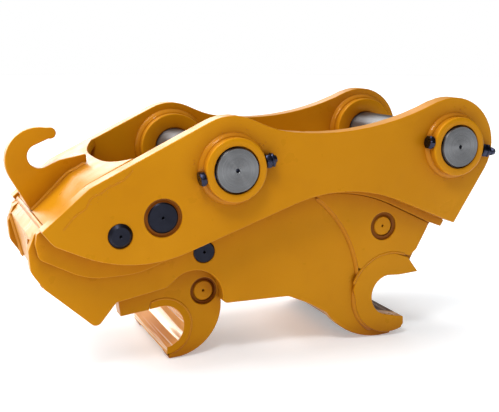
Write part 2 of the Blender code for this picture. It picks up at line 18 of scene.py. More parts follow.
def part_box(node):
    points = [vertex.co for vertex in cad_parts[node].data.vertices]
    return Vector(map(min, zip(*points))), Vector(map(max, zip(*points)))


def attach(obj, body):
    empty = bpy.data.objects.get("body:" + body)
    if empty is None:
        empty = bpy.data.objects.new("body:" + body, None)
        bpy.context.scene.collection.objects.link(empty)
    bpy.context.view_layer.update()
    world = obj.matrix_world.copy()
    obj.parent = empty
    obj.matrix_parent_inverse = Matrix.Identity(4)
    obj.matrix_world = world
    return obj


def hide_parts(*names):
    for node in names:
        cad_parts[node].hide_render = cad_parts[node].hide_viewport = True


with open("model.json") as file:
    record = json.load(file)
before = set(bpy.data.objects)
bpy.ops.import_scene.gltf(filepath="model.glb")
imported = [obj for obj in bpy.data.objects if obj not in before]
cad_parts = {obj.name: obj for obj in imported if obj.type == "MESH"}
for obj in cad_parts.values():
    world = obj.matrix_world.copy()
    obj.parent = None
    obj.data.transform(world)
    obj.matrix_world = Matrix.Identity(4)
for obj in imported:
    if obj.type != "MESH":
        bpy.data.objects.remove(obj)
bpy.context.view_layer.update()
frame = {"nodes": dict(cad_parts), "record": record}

MM = 0.001
SAME_PLACE, SAME_CORNER = 0.00002, 0.0000005
RECORD = frame["record"]
BODY = {node: body for body, nodes in RECORD["behaviour"]["bodies"].items() for node in nodes}
SLOT = {part["node"]: part["material_slot"] for part in RECORD["subparts"]}
SIDES = (("near", -1), ("far", 1))
ACROSS = Vector((0, 1, 0))


# ---------------------------------------------------------------- places
def middle(node):
    low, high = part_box(node)
    return (low + high) / 2


def half_width(node):
    """How far a node reaches from the middle plane, in millimetres."""
    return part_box(node)[1].y / MM


STICK, LINK = middle("stick_pin"), middle("link_pin")
ALONG = (LINK - STICK).normalized()
UP = Vector((-ALONG.z, 0, ALONG.x))


def at(x, z, y=0.0):
    """The point x along the line of the two big pins, z above it and y across, in millimetres."""
    return STICK + (ALONG * x + UP * z + ACROSS * y) * MM


def spot(node):
    """A node's middle in the same two directions, x and z, in millimetres."""
    away = (middle(node) - STICK) / MM
    return away.dot(ALONG), away.dot(UP)


def ray(centre, angle, distance):
    """The point at a distance from centre, in a direction in degrees."""
    a = math.radians(angle)
    return centre[0] + distance * math.cos(a), centre[1] + distance * math.sin(a)


PIN_SPACING = (LINK - STICK).length / MM
HOOK_PIVOT = spot("hook_pivot_pin")

# Middles of the two hooks' mouths and of the cheek's curved edge, along and above the pin line.
FIXED_MOUTH = (341, -296)
MOVING_MOUTH = (-122, -297)
CHEEK_CURVE, CHEEK_R = (30, -266.4), 243.5

EAR_FACE = half_width("upper_side_plate_far")
LOWER_FACE = half_width("lower_side_plate_far")
PAD_FACE = half_width("fixed_hook_pad_far")
HOOK_FACE = half_width("moving_hook_plate_far")
BOSS_FACE = half_width("stick_outer_boss_far")
ROOF_HALF = half_width("nose_top_plate")
CROSS_HALF = half_width("deck_plate")
INNER_BOSS_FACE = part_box("stick_inner_boss_far")[0].y / MM
EAR_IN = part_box("upper_side_plate_far")[0].y / MM


# ---------------------------------------------------------------- materials
class Shade:
    """A material made node by node around its Principled shader."""

    def __init__(self, name, **constants):
        self.material = bpy.data.materials.new(name)
        self.material.use_nodes = True
        self.tree = self.material.node_tree
        self.shader = self.tree.nodes["Principled BSDF"]
        self.place = self.add("TexCoord").outputs["Object"]
        for key, value in constants.items():
            self.shader.inputs[key.replace("_", " ")].default_value = value

    def add(self, kind, inputs=(), **settings):
        made = self.tree.nodes.new("ShaderNode" + kind)
        for key, value in settings.items():
            setattr(made, key, value)
        for key, value in dict(inputs).items():
            if isinstance(value, bpy.types.NodeSocket):
                self.tree.links.new(value, made.inputs[key])
            else:
                made.inputs[key].default_value = value
        return made

    def drive(self, key, value):
        self.tree.links.new(value, self.shader.inputs[key])

    def stretched(self, scale):
        return self.add("Mapping", {"Vector": self.place, "Scale": scale}).outputs["Vector"]

    def noise(self, scale, detail=2.0, place=None, roughness=0.5):
        made = self.add("TexNoise", {"Vector": place or self.place, "Scale": scale, "Detail": detail,
                                     "Roughness": roughness})
        return made.outputs["Fac"]

    def spread(self, value, low, high, to_low=0.0, to_high=1.0):
        made = self.add("MapRange", {"Value": value, "From Min": low, "From Max": high,
                                     "To Min": to_low, "To Max": to_high})
        return made.outputs["Result"]

    def math(self, operation, a, b):
        return self.add("Math", {0: a, 1: b}, operation=operation).outputs["Value"]

    def mix(self, factor, a, b):
        made = self.add("Mix", {"Factor": factor}, data_type="RGBA")
        for socket, value in ((made.inputs[6], a), (made.inputs[7], b)):
            if isinstance(value, bpy.types.NodeSocket):
                self.tree.links.new(value, socket)
            else:
                socket.default_value = (*value, 1)
        return made.outputs[2]

    def bump(self, height, distance, under=None):
        made = self.add("Bump", {"Height": height, "Distance": distance, "Strength": 1.0})
        if under is not None:
            self.tree.links.new(under, made.inputs["Normal"])
        return made.outputs["Normal"]


def enamel(name, deep, light, ripple=0.0, gloss=0.04):
    """Gloss enamel: orange peel, soft waves of the plate below, flame-cut lines on the edges.

    Dust lies on it in specks, and painted brown shade darkens its corners, recesses and steps, wherever
    the ambient occlusion finds little open air.
    """
    shade = Shade(name, Specular_IOR_Level=0.5, Specular_Tint=(1.0, 0.42, 0.05, 1.0),
                  Coat_Weight=gloss, Coat_Roughness=0.05)
    broad = shade.spread(shade.noise(4.0, 3.0), 0.35, 0.65)
    color = shade.mix(broad, deep, light)
    dust = shade.spread(shade.noise(260.0, 5.0, roughness=0.7), 0.62, 0.78, 0.0, 0.22)
    clean = shade.mix(dust, color, [min(1.0, c * 1.4 + 0.004) for c in light])
    # Painted shade: ambient occlusion darkens the paint towards brown in corners, recesses and under plate
    # edges, with a little random patchiness.
    open_air = shade.add("AmbientOcclusion", {"Distance": 0.045}, samples=6).outputs["AO"]
    patchy = shade.spread(shade.noise(22.0, 3.0), 0.3, 0.7, -0.06, 0.06)
    painted_shade = shade.spread(shade.math("ADD", open_air, patchy), 0.98, 0.45)
    brown = (0.70 * deep[0], 0.55 * deep[1], 1.2 * deep[2])
    shade.drive("Base Color", shade.mix(painted_shade, clean, brown))
    shade.drive("Roughness", shade.spread(shade.noise(28.0, 4.0), 0.3, 0.7, 0.26, 0.42))
    waves = shade.bump(shade.noise(14.0, 2.0), 0.0009)
    facing = shade.add("SeparateXYZ", {0: shade.add("NewGeometry").outputs["Normal"]}).outputs["Y"]
    on_edge = shade.spread(shade.math("ABSOLUTE", facing, 0.0), 0.5, 0.2)
    lines = shade.noise(420.0, 3.0, shade.stretched((1, 0.06, 1)))
    cut = shade.bump(shade.math("MULTIPLY", lines, on_edge), 0.00022, waves)
    peel = shade.bump(shade.noise(330.0, 2.0), 0.00006 + ripple, cut)
    shade.drive("Normal", peel)
    return shade.material


END_PAINT = (0.53, 0.21, 0.004)


def streaked_enamel(name, deep, light, streak_colour):
    """A hook's seat in long streaks across the coupler, in END_PAINT at its ends. The streaks are shinier
    and half metallic with a colour of their own; on the moving hook's seat they are pale painted
    highlights over a painted sheen lighter than the paint.
    """
    shade = Shade(name, Specular_IOR_Level=0.2, Specular_Tint=(1.0, 0.5, 0.1, 1.0))
    broad = shade.spread(shade.noise(9.0, 3.0), 0.35, 0.65)
    streak = shade.noise(75.0, 3.0, shade.stretched((1, 0.02, 1)), 0.6)
    facing = shade.add("SeparateXYZ", {0: shade.add("NewGeometry").outputs["Normal"]}).outputs["Y"]
    seat = shade.spread(shade.math("ABSOLUTE", facing, 0.0), 0.5, 0.3)
    # Painted highlight: pale streaks across the moving hook's seat, which are also shinier and half
    # metallic.
    streak_mask = shade.math("MULTIPLY", shade.spread(streak, 0.53, 0.60), seat)
    painted = shade.mix(seat, END_PAINT, shade.mix(broad, deep, light))
    shade.drive("Base Color", shade.mix(streak_mask, painted, streak_colour))
    shade.drive("Metallic", shade.math("MULTIPLY", streak_mask, 0.5))
    shade.drive("Roughness", shade.spread(streak_mask, 0.0, 1.0, 0.55, 0.24))
    shade.drive("Normal", shade.bump(streak, 0.0004))
    return shade.material


def metal(name, color, roughness, spread=0.08, peel=0.00003, **constants):
    """Bare or oxidised metal with a fine grain and uneven sheen."""
    shade = Shade(name, Metallic=1.0, **constants)
    tone = shade.spread(shade.noise(40.0, 4.0), 0.3, 0.7)
    shade.drive("Base Color", shade.mix(tone, [c * 0.82 for c in color], color))
    shade.drive("Roughness", shade.spread(shade.noise(90.0, 3.0), 0.3, 0.7, roughness - spread,
                                          roughness + spread))
    shade.drive("Normal", shade.bump(shade.noise(600.0, 3.0), peel))
    return shade.material


def turned_steel(name, color, roughness):
    """Steel faced in a lathe: fine rings about the piece's own axis, and the sheen they give."""
    shade = Shade(name, Metallic=1.0, Anisotropic=0.92, Anisotropic_Rotation=0.25)
    split = shade.add("SeparateXYZ", {0: shade.place})
    flat = shade.add("CombineXYZ", {"X": split.outputs["X"], "Y": split.outputs["Y"]})
    radius = shade.add("VectorMath", {0: flat.outputs["Vector"]}, operation="LENGTH").outputs["Value"]
    rings = shade.add("TexNoise", {"W": shade.math("MULTIPLY", radius, 900.0), "Scale": 1.0,
                                   "Detail": 4.0}, noise_dimensions="1D").outputs["Fac"]
    coarse = shade.add("TexNoise", {"W": shade.math("MULTIPLY", radius, 160.0), "Scale": 1.0,
                                    "Detail": 2.0}, noise_dimensions="1D").outputs["Fac"]
    stain = shade.spread(shade.noise(60.0, 4.0), 0.35, 0.75)
    bright = shade.mix(shade.spread(coarse, 0.3, 0.7), [c * 0.78 for c in color], color)
    shade.drive("Base Color", shade.mix(stain, bright, [c * 0.86 for c in color]))
    shade.drive("Roughness", shade.spread(rings, 0.25, 0.75, roughness - 0.07, roughness + 0.1))
    shade.drive("Normal", shade.bump(rings, 0.00003))
    shade.drive("Tangent", shade.add("Tangent", direction_type="RADIAL", axis="Z").outputs["Tangent"])
    return shade.material


def black_enamel(name, color, roughness):
    """Satin black enamel with orange peel and a little dust."""
    shade = Shade(name, Coat_Weight=0.2, Coat_Roughness=0.15)
    dust = shade.spread(shade.noise(180.0, 5.0, roughness=0.7), 0.55, 0.8, 0.0, 0.5)
    shade.drive("Base Color", shade.mix(dust, color, [c * 2.4 + 0.01 for c in color]))
    shade.drive("Roughness", shade.spread(shade.noise(35.0, 3.0), 0.3, 0.7, roughness - 0.08,
                                          roughness + 0.1))
    shade.drive("Normal", shade.bump(shade.noise(380.0, 2.0), 0.00005))
    return shade.material


MATERIAL = {
    "yellow_paint": enamel("yellow_enamel", (0.50, 0.198, 0.003), (0.56, 0.232, 0.005)),
    "hook_paint": enamel("hook_enamel", (0.49, 0.195, 0.003), (0.55, 0.228, 0.005)),
    "weld_paint": enamel("weld_enamel", (0.47, 0.172, 0.003), (0.53, 0.205, 0.004),
                         ripple=0.00012, gloss=0.20),
    # Painted light on the moving hook's seat: a lit sheen lighter than the paint, and pale highlight
    # streaks.
    "sheen_streaked_seat": streaked_enamel("sheen_streaked_seat", (0.64, 0.28, 0.055), (0.78, 0.38, 0.10), (0.95, 0.92, 0.86)),
    # The fixed hook's seat: painted near black, with dark brown streaks.
    "dark_seat": streaked_enamel("dark_seat", (0.055, 0.022, 0.004), (0.10, 0.040, 0.006),
                                (0.20, 0.10, 0.03)),
    # Painted shade for the floors of the pin recesses.
    "recess_shade": enamel("recess_shade", (0.15, 0.038, 0.003), (0.20, 0.055, 0.004)),
    "ground_steel": turned_steel("turned_steel", (0.22, 0.22, 0.225), 0.30),
    "zinc_steel": metal("plain_steel", (0.55, 0.55, 0.54), 0.34),
    "black_bolt": metal("black_oxide", (0.040, 0.043, 0.075), 0.30, peel=0.00006),
    "black_pin": metal("black_pin_oxide", (0.022, 0.023, 0.033), 0.36, peel=0.00004),
    "spring_steel": metal("spring_wire", (0.20, 0.20, 0.21), 0.34),
    "cylinder_paint": black_enamel("cylinder_enamel", (0.018, 0.018, 0.020), 0.38),
    "chrome_rod": metal("hard_chrome", (0.78, 0.79, 0.81), 0.10, 0.03, 0.000006),
    "seal": black_enamel("rubber_seal", (0.012, 0.012, 0.012), 0.6),
}


# ---------------------------------------------------------------- making pieces
def piece(name, bm, node, finish=None, replaced=(), place=None):
    """A finished object from a bmesh that rides with a CAD node and takes that node's slot."""
    bmesh.ops.recalc_face_normals(bm, faces=bm.faces)
    mesh = bpy.data.meshes.new(name)
    bm.to_mesh(mesh)
    bm.free()
    mesh.shade_smooth()
    mesh.set_sharp_from_angle(angle=math.radians(35))
    made = bpy.data.objects.new(name, mesh)
    bpy.context.scene.collection.objects.link(made)
    if place is not None:
        made.matrix_world = place
    mesh.materials.append(MATERIAL[finish or SLOT[node]])
    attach(made, BODY[node])
    if replaced:
        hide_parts(*replaced)
    return made


def rounded(node, width):
    """A CAD piece without holes again, with its edges rounded by a width in millimetres."""
    bm = bmesh.new()
    bm.from_mesh(frame["nodes"][node].data)
    bmesh.ops.remove_doubles(bm, verts=bm.verts, dist=SAME_PLACE)
    bmesh.ops.dissolve_limit(bm, angle_limit=math.radians(0.6), verts=bm.verts, edges=bm.edges)
    made = piece(f"{node}_rounded", bm, node, replaced=(node,))
    made.data.set_sharp_from_angle(angle=math.pi)
    bevel = made.modifiers.new("rounded_edges", "BEVEL")
    bevel.width = width * MM
    bevel.segments = 3
    bevel.limit_method = "ANGLE"
    bevel.angle_limit = math.radians(32)
    bevel.harden_normals = True
    return made


def islands(bm, wanted):
    """Groups of faces that pass a test and share edges."""
    left, found = {face for face in bm.faces if wanted(face)}, []
    while left:
        todo, group = [left.pop()], []
        while todo:
            face = todo.pop()
            group.append(face)
            for edge in face.edges:
                for other in edge.link_faces:
                    if other in left:
                        left.remove(other)
                        todo.append(other)
        found.append(group)
    return found


def border_loops(faces):
    """The closed loops of vertices around a group of faces."""
    inside = set(faces)
    ways = {}
    for face in faces:
        for edge in face.edges:
            if sum(other in inside for other in edge.link_faces) == 1:
                for vert in edge.verts:
                    ways.setdefault(vert, []).append(edge.other_vert(vert))
    loops = []
    while ways:
        start = min(ways, key=lambda vert: vert.index)
        loop, current, last = [], start, None
        while current in ways:
            loop.append(current)
            a, b = ways.pop(current)
            current, last = (b if a == last else a), current
        loops.append(loop)
    return loops


def eased(points, radius):
    """An outline with its sharp corners rounded."""
    smooth = []
    for i, point in enumerate(points):
        before, after = points[i - 1] - point, points[(i + 1) % len(points)] - point
        turn = math.pi - before.angle(after)
        if turn < math.radians(22):
            smooth.append(point)
            continue
        reach = min(radius * math.tan(turn / 2), 0.45 * before.length, 0.45 * after.length)
        start, end = point + before.normalized() * reach, point + after.normalized() * reach
        for k in range(4):
            t = k / 3
            smooth.append(start * (1 - t) ** 2 + point * 2 * t * (1 - t) + end * t * t)
    return smooth


def left_of(run):
    return Vector((-run.y, run.x)).normalized()


def shrunk(points, width):
    """An outline moved by a width to its left, and each point's normal to the right."""
    moved, normals = [], []
    for i, point in enumerate(points):
        a = left_of(point - points[i - 1])
        b = left_of(points[(i + 1) % len(points)] - point)
        moved.append(point + (a + b) * (width / max(0.35, 1 + a.dot(b))))
        normals.append(-(a + b).normalized())
    for _ in range(12):
        for i in range(len(points)):
            j = (i + 1) % len(points)
            if (moved[j] - moved[i]).dot(points[j] - points[i]) < 0:
                moved[i] = moved[j] = (moved[i] + moved[j]) / 2
    return moved, normals


def plate_again(node, width, corner=1.5, finish=None):
    """A CAD plate again from its own outlines, with its cut edges and corners rounded."""
    source = bmesh.new()
    source.from_mesh(frame["nodes"][node].data)
    bmesh.ops.remove_doubles(source, verts=source.verts, dist=SAME_PLACE)
    source.normal_update()
    source.verts.index_update()
    caps = islands(source, lambda face: abs(face.normal.y) > 0.9)
    bm = bmesh.new()
    normal_of = bm.verts.layers.float_vector.new("side_normal")
    cap_of = bm.faces.layers.int.new("cap")
    rims = {}
    for group in islands(source, lambda face: abs(face.normal.y) <= 0.9):
        ends = sorted(border_loops(group), key=lambda loop: loop[0].co.y)
        first = next(face for face in group
                     if ends[0][0] in face.verts and ends[0][1] in face.verts)
        points = [Vector((vert.co.x, vert.co.z)) for vert in ends[0]]
        if left_of(points[1] - points[0]).dot(Vector((first.normal.x, first.normal.z))) > 0:
            points.reverse()
        points = eased(points, corner * MM)
        moved, normals = shrunk(points, width * MM)
        rings = []
        for loop, other in (ends, ends[::-1]):
            y = loop[0].co.y
            cap = next(group for group in caps
                       if any(vert in loop for face in group for vert in face.verts))
            sign = 1 if cap[0].normal.y > 0 else -1
            steps = 4 if (y - other[0].co.y) * sign > 0 else 0
            levels = []
            for k in range(steps + 1):
                a = math.radians(90 * k / steps) if steps else 0
                inset, drop = 1 - math.cos(a), width * MM * (1 - math.sin(a)) * bool(steps)
                level = []
                for point, target, normal in zip(points, moved, normals):
                    spot_2d = point.lerp(target, inset)
                    vert = bm.verts.new((spot_2d.x, y - sign * drop, spot_2d.y))
                    vert[normal_of] = (normal.x * math.cos(a), sign * math.sin(a), normal.y * math.cos(a))
                    level.append(vert)
                levels.append(level)
            rings.append(levels)
            rims[frozenset(loop)] = levels[-1]
        for a, b in zip(rings[0][::-1] + rings[1], (rings[0][::-1] + rings[1])[1:]):
            wall(bm, a, b)
    for group in caps:
        edges = [rims[frozenset(loop)] for loop in border_loops(group)]
        verts = [vert for edge in edges for vert in edge]
        flat = [[Vector((vert.co.x, vert.co.z, 0)) for vert in edge] for edge in edges]
        for corners in tessellate_polygon(flat):
            face = bm.faces.new([verts[i] for i in corners])
            face[cap_of] = 1 if group[0].normal.y > 0 else -1
    source.free()
    bmesh.ops.remove_doubles(bm, verts=bm.verts, dist=SAME_CORNER)
    made = piece(f"{node}_plate", bm, node, finish, replaced=(node,))
    give_normals(made.data)
    return made


def give_normals(mesh):
    """Flat caps and smooth rounded edges, from what plate_again stored."""
    caps = [value.value for value in mesh.attributes["cap"].data]
    sides = [value.vector.copy() for value in mesh.attributes["side_normal"].data]
    for name in ("cap", "side_normal"):
        mesh.attributes.remove(mesh.attributes[name])
    mesh.set_sharp_from_angle(angle=math.pi)
    normals = [None] * len(mesh.loops)
    for face, cap in zip(mesh.polygons, caps):
        for loop in face.loop_indices:
            side = sides[mesh.loops[loop].vertex_index]
            normals[loop] = (0.0, float(cap), 0.0) if cap else side
    mesh.normals_split_custom_set(normals)


def ring(bm, points):
    return [bm.verts.new(point) for point in points]


def wall(bm, ring_a, ring_b):
    for i in range(len(ring_a)):
        j = (i + 1) % len(ring_a)
        bm.faces.new((ring_a[i], ring_a[j], ring_b[j], ring_b[i]))


def lathe_place(origin, direction):
    """The frame of a turned piece, with its own Z along the axis."""
    turn = Vector((0, 0, 1)).rotation_difference(Vector(direction)).to_matrix().to_4x4()
    return Matrix.Translation(origin) @ turn


def lathe(name, node, origin, direction, profile, sides=96, across_flats=None, **more):
    """A turned piece from (height, radius) in millimetres; hexagonal where across_flats cuts it."""
    bm = bmesh.new()
    rings = []
    for height, radius in profile:
        if radius == 0:
            rings.append([bm.verts.new((0, 0, height * MM))])
            continue
        points = []
        for i in range(sides):
            a = 2 * math.pi * i / sides
            r = radius
            if across_flats:
                from_flat = (a + math.pi / 6) % (math.pi / 3) - math.pi / 6
                r = min(radius, across_flats / 2 / math.cos(from_flat))
            points.append((r * math.cos(a) * MM, r * math.sin(a) * MM, height * MM))
        rings.append(ring(bm, points))
    for i, current in enumerate(rings):
        after = rings[(i + 1) % len(rings)]
        if len(current) == len(after) == sides:
            wall(bm, current, after)
        elif len(current) + len(after) > 2:
            centre, rim = (current[0], after) if len(current) == 1 else (after[0], current)
            for j in range(sides):
                bm.faces.new((centre, rim[j], rim[(j + 1) % sides]))
    return piece(name, bm, node, place=lathe_place(origin, direction), **more)


def rounded_corner(height, radius, turn_height, turn_radius, size, steps=3):
    """Profile points that round a corner; turn_height and turn_radius point into the piece."""
    points = []
    for i in range(steps + 1):
        a = math.radians(90 * i / steps)
        points.append((height + turn_height * size * (1 - math.cos(a)),
                       radius + turn_radius * size * (1 - math.sin(a))))
    return points


# ---------------------------------------------------------------- weld beads
BEAD_SIDES = 7
RIPPLE = 4.2


def bead(name, node, path, normals, width, height, depth, closed=False, seed=0):
    """A weld bead whose crescent ripples follow one another along a path of points.

    Width, height above the chord and depth below it are millimetres. Each cross-section
    stands on its normal, and open ends taper to a crater.
    """
    bm = bmesh.new()
    rings, travelled = [], 0.0
    total = sum((path[i + 1] - path[i]).length for i in range(len(path) - 1)) / MM
    for i, point in enumerate(path):
        before = path[i - 1] if i > 0 or closed else path[0]
        after = path[(i + 1) % len(path)] if i < len(path) - 1 or closed else path[-1]
        run = (after - before).normalized()
        if i > 0:
            travelled += (point - path[i - 1]).length / MM
        normal = normals[i]
        side = run.cross(normal).normalized()
        taper = 1.0
        if not closed:
            taper = min(1.0, 0.35 + min(travelled, total - travelled) / width)
        wander = noise.noise(point * 90 + Vector((seed, 0, 0)))
        points = []
        for k in range(BEAD_SIDES):
            a = math.pi * k / (BEAD_SIDES - 1)
            lateral = math.cos(a)
            phase = (travelled / RIPPLE + 0.45 * lateral * lateral) % 1.0
            rise = height * math.sin(a) * (0.80 + 0.34 * phase + 0.15 * wander)
            half = width / 2 * (1 + 0.07 * wander) * taper
            points.append(point + (side * (half * lateral) + normal * (rise * taper)) * MM)
        points.append(point - normal * (depth * taper * MM))
        rings.append(ring(bm, points))
    for a, b in zip(rings, rings[1:]):
        wall(bm, a, b)
    if closed:
        wall(bm, rings[-1], rings[0])
    else:
        bm.faces.new(rings[0])
        bm.faces.new(rings[-1])
    return piece(name, bm, node, "weld_paint")


def even(path, step):
    """The same path with points a step apart, in millimetres, rounded through its own points."""
    smooth = []
    for i in range(len(path) - 1):
        a, b, c, d = path[max(i - 1, 0)], path[i], path[i + 1], path[min(i + 2, len(path) - 1)]
        count = max(1, round((c - b).length / (step * MM)))
        for k in range(count):
            t = k / count
            smooth.append(b * (2 - 5 * t * t + 3 * t ** 3) / 2 + a * (-t + 2 * t * t - t ** 3) / 2
                          + c * (t + 4 * t * t - 3 * t ** 3) / 2 + d * (-t * t + t ** 3) / 2)
    return smooth + [path[-1]]


BEAD_STEP = 1.2


def ring_bead(name, node, centre, radius, y, out, leg, inward=False):
    """A fillet weld round a boss that stands on a face; out is the way that face looks."""
    count = max(24, round(2 * math.pi * radius / BEAD_STEP))
    path, normals = [], []
    for i in range(count):
        a = 360 * i / count
        x, z = ray(centre, a, radius + (-leg if inward else leg) / 2)
        away = (ALONG * math.cos(math.radians(a)) + UP * math.sin(math.radians(a))) * (-1 if inward else 1)
        path.append(at(x, z, y + out * leg / 2))
        normals.append((away + ACROSS * out).normalized())
    return bead(name, node, path, normals, leg * math.sqrt(2), leg * 0.16, leg / math.sqrt(2), True,
                seed=radius)


def corner_bead(name, node, points, way_a, way_b, leg):
    """A fillet weld in the corner between two faces that look along way_a and way_b."""
    normal = (way_a + way_b).normalized()
    offset = (way_a + way_b) * (leg * MM / 2)
    path = even([point + offset for point in points], BEAD_STEP)
    return bead(name, node, path, [normal] * len(path), leg * math.sqrt(2), leg * 0.16,
                leg / math.sqrt(2), seed=leg * 7)


def face_bead(name, node, points, out, width, height):
    """A bead laid on a flat side face."""
    path = even(points, BEAD_STEP)
    return bead(name, node, path, [ACROSS * out] * len(path), width, height, 1.0, seed=width)


def arc_points(centre, radius, start, end, y, step=6.0):
    count = max(2, round(abs(end - start) / step))
    return [at(*ray(centre, start + (end - start) * i / count, radius), y) for i in range(count + 1)]


# ---------------------------------------------------------------- plates
def build_plates():
    for side, _ in SIDES:
        for name, width in (("upper_side_plate", 2.0), ("doubler_plate", 1.5), ("lower_side_plate", 2.0),
                            ("fixed_hook_cheek", 1.5), ("fixed_hook_pad", 1.6),
                            ("moving_hook_plate", 1.8)):
            plate_again(f"{name}_{side}", width)
    for name, width in (("nose_front_plate", 1.5), ("lifting_hook", 2.0), ("deck_plate", 1.2),
                        ("rear_cross_plate", 1.2), ("belly_plate", 1.2), ("moving_hook_back_plate", 1.2),
                        ("latch_block", 1.5), ("safety_latch", 1.5), ("cylinder_base_eye", 1.5),
                        ("cylinder_rod_eye", 1.5)):
        plate_again(name, width)
    plate_again("fixed_hook_saddle", 1.2, finish="dark_seat")
    plate_again("moving_hook_saddle", 1.5, finish="sheen_streaked_seat")
    rounded("nose_top_plate", 1.5)


# ---------------------------------------------------------------- bosses and big pins
BIG_PIN_R = 40.0
BORE_R = 40.4
RELIEF_R, OUTER_RELIEF, INNER_RELIEF = 42.2, 9.0, 3
BOSS_CORNER, BORE_CORNER = 3.0, 1.2
SUNK = 0.2
OUTER_BOSS_LEG, INNER_BOSS_LEG = 7.5, 9.0


def boss_radius(node):
    low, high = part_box(node)
    return (high.x - low.x) / 2 / MM


def boss_profile(foot, face, radius, relief):
    """Half of a boss's section, from its foot on the ear to its face, with a relief in its bore."""
    inward = 1 if foot > face else -1
    return ([(foot, BORE_R), (foot, radius)]
            + rounded_corner(face, radius, inward, -1, BOSS_CORNER)[::-1]
            + rounded_corner(face, RELIEF_R, inward, 1, BORE_CORNER)
            + [(face + inward * relief, RELIEF_R), (face + inward * relief, BORE_R)])


def build_bosses():
    """Each big pin's bosses: one on each ear's outer face and one on its inner face."""
    kinds = (("outer", EAR_FACE, EAR_FACE + SUNK, BOSS_FACE, OUTER_RELIEF, 1, OUTER_BOSS_LEG),
             ("inner", EAR_IN, EAR_IN - SUNK, INNER_BOSS_FACE, INNER_RELIEF, -1, INNER_BOSS_LEG))
    for place, centre in (("stick", (0.0, 0.0)), ("link", (PIN_SPACING, 0.0))):
        for side, sign in SIDES:
            for kind, ear, foot, face, relief, out, leg in kinds:
                node = f"{place}_{kind}_boss_{side}"
                radius = boss_radius(node)
                lathe(f"{node}_turned", node, at(*centre), (0, sign, 0),
                      boss_profile(foot, face, radius, relief), replaced=(node,))
                ring_bead(f"{node}_weld", node, centre, radius, sign * ear, sign * out, leg)


SMALL_PIN_R, LATCH_PIN_R, STOP_PIN_R = 20, 27, 21


def pin_profile(half, radius, chamfer, hole, depth, lead=None):
    """A pin with chamfered or tapered ends and a small countersunk centre hole in each."""
    end = [(half - depth, 0), (half - depth, hole), (half - 0.8, hole), (half, hole + 0.8),
           (half, radius - chamfer), (half - (lead or chamfer), radius)]
    return [(-height, r) for height, r in end] + [(height, r) for height, r in end[::-1]]


def build_pins():
    for node in ("stick_pin", "link_pin"):
        profile = pin_profile(half_width(node), BIG_PIN_R, chamfer=1.7, hole=3.6, depth=14.0, lead=7.0)
        lathe(f"{node}_turned", node, middle(node), (0, 1, 0), profile, 128, replaced=(node,))
    for node, radius, chamfer in (("hook_pivot_pin", SMALL_PIN_R, 2),
                                  ("cylinder_base_pin", SMALL_PIN_R, 2.5),
                                  ("latch_pin", LATCH_PIN_R, 2), ("latch_stop_pin", STOP_PIN_R, 5),
                                  ("cylinder_rod_pin", SMALL_PIN_R, 2.5)):
        profile = pin_profile(half_width(node), radius, chamfer, hole=2.2, depth=8.0)
        lathe(f"{node}_turned", node, middle(node), (0, 1, 0), profile, 72, replaced=(node,))


RECESS_DEPTH = 5.0
SHADE_RING_RISE = 2.0
PIN_GAP, RECESS_GAP = 0.4, 0.2


def build_recess_shade():
    """Painted shade round the pins that end in a recess: a dark brown ring on the recess floor, hollowed a
    little in its middle.
    """
    for pin, plate, recess_r, pin_r in (("cylinder_base_pin", "fixed_hook_cheek", 28.0, SMALL_PIN_R),
                                        ("cylinder_rod_pin", "moving_hook_plate", 26.0, SMALL_PIN_R),
                                        ("latch_pin", "upper_side_plate", 34.0, LATCH_PIN_R)):
        inner, outer = pin_r + PIN_GAP, recess_r - RECESS_GAP
        floor = half_width(f"{plate}_far") - RECESS_DEPTH
        profile = [(floor - SUNK, inner), (floor - SUNK, outer), (floor + SHADE_RING_RISE, outer),
                   (floor + SHADE_RING_RISE * 0.45, (inner + outer) / 2), (floor + SHADE_RING_RISE, inner)]
        # Painted shade: a dark ring laid on each recess floor round the pin.
        centre = middle(pin)
        for side, sign in SIDES:
            lathe(f"{pin}_grease_{side}", f"{plate}_{side}", Vector((centre.x, 0, centre.z)),
                  (0, sign, 0), profile, 72, finish="recess_shade")


# ---------------------------------------------------------------- fasteners
def hex_profile(start, height, flats, bore=0.0):
    """A hexagon whose corners are chamfered at both ends, on a thin washer face."""
    corner, half = flats / math.sqrt(3), flats / 2
    washer, drop = 0.5, 1.6
    return [(start, bore), (start, half - 0.4), (start + washer, half - 0.4), (start + washer, half),
            (start + washer + drop, corner), (start + height - drop, corner),
            (start + height, half - 0.6), (start + height, bore)]


def thread(start, end, radius, pitch=2.0):
    """Profile points of a screw thread, as rings one pitch apart."""
    points, height = [], start
    while height + pitch < end:
        points += [(height, radius), (height + pitch * 0.5, radius - 0.9)]
        height += pitch
    return points


FLATS, SHANK_R, HEAD_HEIGHT = 24.0, 8.0, 10
NUT_SEAT = 57.6
NUT_HEIGHT, NUT_GAP, LOCK_NUT_HEIGHT = 10.0, 0.3, 6.0


